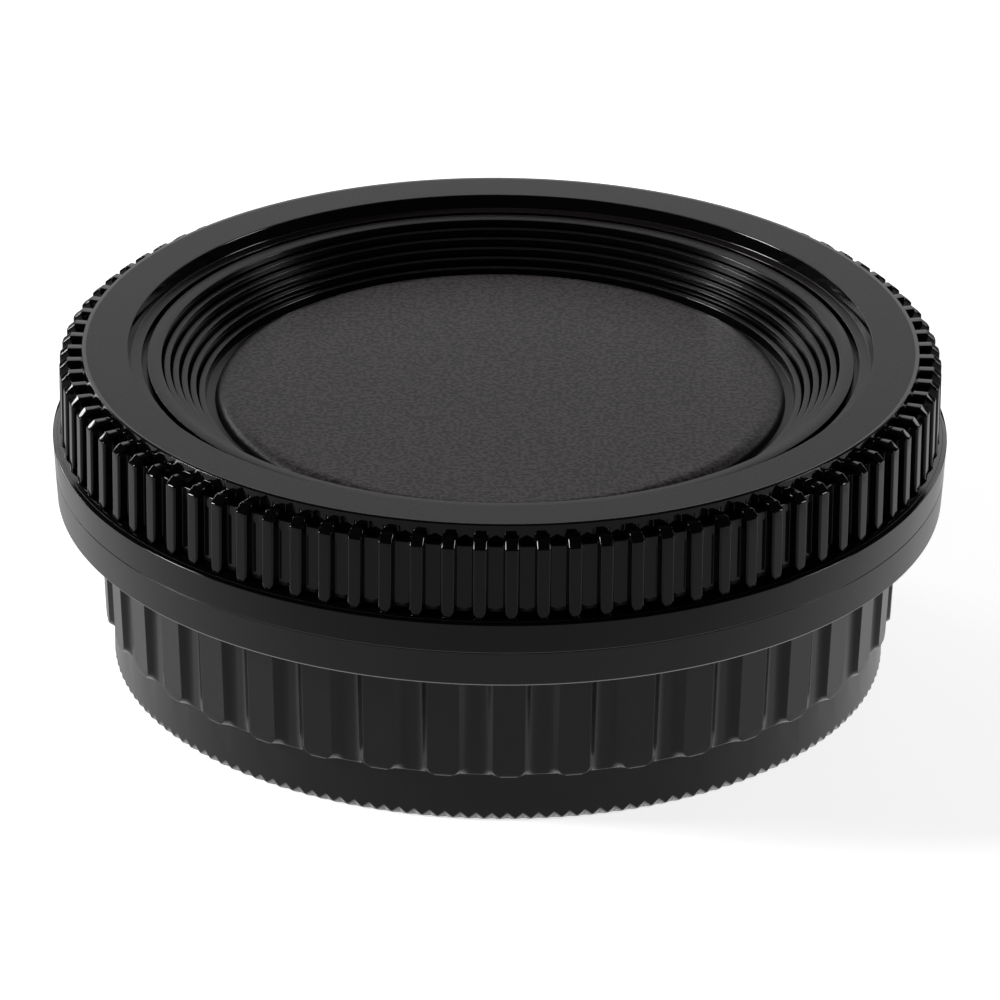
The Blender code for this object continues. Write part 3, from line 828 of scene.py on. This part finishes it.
# %% The camera
ELEVATION = math.radians(25.597)
DISTANCE = 611.16 * MM
AIM = Vector((0, 0, TOP * MM - 12.657 * MM))
ROLL = math.radians(0.512)
FOCAL_PIXELS = 8300
PHOTO_PIXELS = 1000
SENSOR = 36.0
view = bpy.data.cameras.new("camera")
view.sensor_width = SENSOR
view.lens = FOCAL_PIXELS / PHOTO_PIXELS * SENSOR
view.shift_x = 0.0007
view.clip_start = 0.01
camera = bpy.data.objects.new("camera", view)
bpy.context.scene.collection.objects.link(camera)
camera.location = AIM + DISTANCE * Vector((0, -math.cos(ELEVATION), math.sin(ELEVATION)))
facing = (AIM - camera.location).to_track_quat("-Z", "Y").to_matrix().to_4x4()
camera.matrix_world = Matrix.Translation(camera.location) @ facing @ Matrix.Rotation(ROLL, 4, "Z")
bpy.context.scene.camera = camera
print(f"camera {DISTANCE / MM:.0f} mm away, lens {view.lens:.0f} mm")

# %% [markdown]
# ## Floor and light
#
# Black plastic shows little of its own colour: it shows the room. The upright walls mirror the table
# around the caps, which is white behind and dim in front. The level faces mirror a low soft box behind,
# and the chamfers and rounded edges mirror four soft boxes at the sides.

# %% The floor
# A sheet of white acrylic lit from below, as photographers of small goods use, leaves hardly a shadow
FLOOR_HALF = 3
floor_data = bpy.data.meshes.new("floor")
floor_corners = [(x * FLOOR_HALF, y * FLOOR_HALF, 0) for x, y in ((-1, -1), (1, -1), (1, 1), (-1, 1))]
floor_data.from_pydata(floor_corners, [], [(0, 1, 2, 3)])
floor = bpy.data.objects.new("floor", floor_data)
bpy.context.scene.collection.objects.link(floor)
acrylic = bpy.data.materials.new("backlit_white_acrylic")
acrylic.use_nodes = True
sheet = acrylic.node_tree.nodes["Principled BSDF"].inputs
sheet["Base Color"].default_value = linear("#f4f4f4")
sheet["Roughness"].default_value = 0.9
sheet["Specular IOR Level"].default_value = 0.0
sheet["Emission Color"].default_value = linear("#ffffff")
sheet["Emission Strength"].default_value = 0.75
floor_data.materials.append(acrylic)
floor.visible_glossy = False
print(f"floor of {2 * FLOOR_HALF} by {2 * FLOOR_HALF} m")

# %% The lights
# Each box has its place and its size in metres, and its watts. The low box close behind lights all level
# faces, and the others draw bright dashes on the ribs' chamfers.
SOFT_BOXES = (("back_soft_box", (0.0, 0.2, 0.1), (0.3, 0.08), 0.078),
              ("back_left_soft_box", (-0.56, 0.63, 0.32), (0.3, 0.12), 1.2),
              ("back_right_soft_box", (0.56, 0.63, 0.32), (0.3, 0.12), 0.3),
              ("left_soft_box", (-0.75, 0.0, 0.36), (0.2, 0.25), 5.0),
              ("right_soft_box", (0.75, 0.0, 0.36), (0.2, 0.2), 1.6))
CAPS_MIDDLE = Vector((0, 0, 0.01))
for name, place, size, watts in SOFT_BOXES:
    lamp = bpy.data.lights.new(name, "AREA")
    lamp.shape = "RECTANGLE"
    lamp.size, lamp.size_y = size
    lamp.energy = watts
    box = bpy.data.objects.new(name, lamp)
    bpy.context.scene.collection.objects.link(box)
    box.location = place
    box.rotation_euler = (CAPS_MIDDLE - Vector(place)).to_track_quat("-Z", "Y").to_euler()
print("lights:", [name for name, place, size, watts in SOFT_BOXES])

# %% The room that the plastic mirrors
# How bright the table is from the front edge, at 0, to the back edge, at 1
TABLE_LEVELS = ((0.05, 0.28), (0.25, 0.36), (0.5, 0.62), (0.72, 0.78), (0.85, 0.72), (0.93, 0.5))
DARKNESS = 0.02
WHITE_WALL = 1.0


def studio_world():
    """A room whose table is white behind and beside the caps and dim in front, with darkness above it."""
    world = bpy.data.worlds.new("studio")
    world.use_nodes = True
    tree = world.node_tree
    direction = put(tree, "ShaderNodeTexCoord").outputs["Generated"]
    aim = put(tree, "ShaderNodeSeparateXYZ", Vector=direction).outputs
    smooth = {"interpolation_type": "SMOOTHSTEP"}
    spread = put(tree, "ShaderNodeMapRange", Value=aim[1], From_Min=-1.0, From_Max=1.0)
    table = put(tree, "ShaderNodeValToRGB", Fac=spread)
    for position, level in TABLE_LEVELS:
        stop = table.color_ramp.elements.new(position)
        stop.color = (level, level, level, 1.0)
    table.color_ramp.elements.remove(table.color_ramp.elements[0])
    table.color_ramp.elements.remove(table.color_ramp.elements[-1])
    # The table is brighter straight below the caps, and above the horizon there is almost no light
    beneath = put(tree, "ShaderNodeMapRange", smooth, Value=aim[2], From_Min=-0.6, From_Max=-0.95,
                  To_Min=0.0, To_Max=1.8)
    below = put(tree, "ShaderNodeMath", {"operation": "ADD"}, i0=table, i1=beneath)
    upper = put(tree, "ShaderNodeMapRange", smooth, Value=aim[2], From_Min=-0.2, From_Max=0.0)
    strength = put(tree, "ShaderNodeMix", {"data_type": "FLOAT"}, Factor=upper, A=below, B=DARKNESS)
    # What shows past the edge of the table, from a low angle, is a white wall
    path = put(tree, "ShaderNodeLightPath").outputs["Is Camera Ray"]
    seen = put(tree, "ShaderNodeMix", {"data_type": "FLOAT"}, Factor=path, A=strength, B=WHITE_WALL)
    tree.links.new(seen.outputs[0], tree.nodes["Background"].inputs["Strength"])
    tree.nodes["Background"].inputs["Color"].default_value = linear("#ffffff")
    return world


bpy.context.scene.world = studio_world()
bpy.context.scene.view_settings.view_transform = "Standard"
print("world:", bpy.context.scene.world.name)
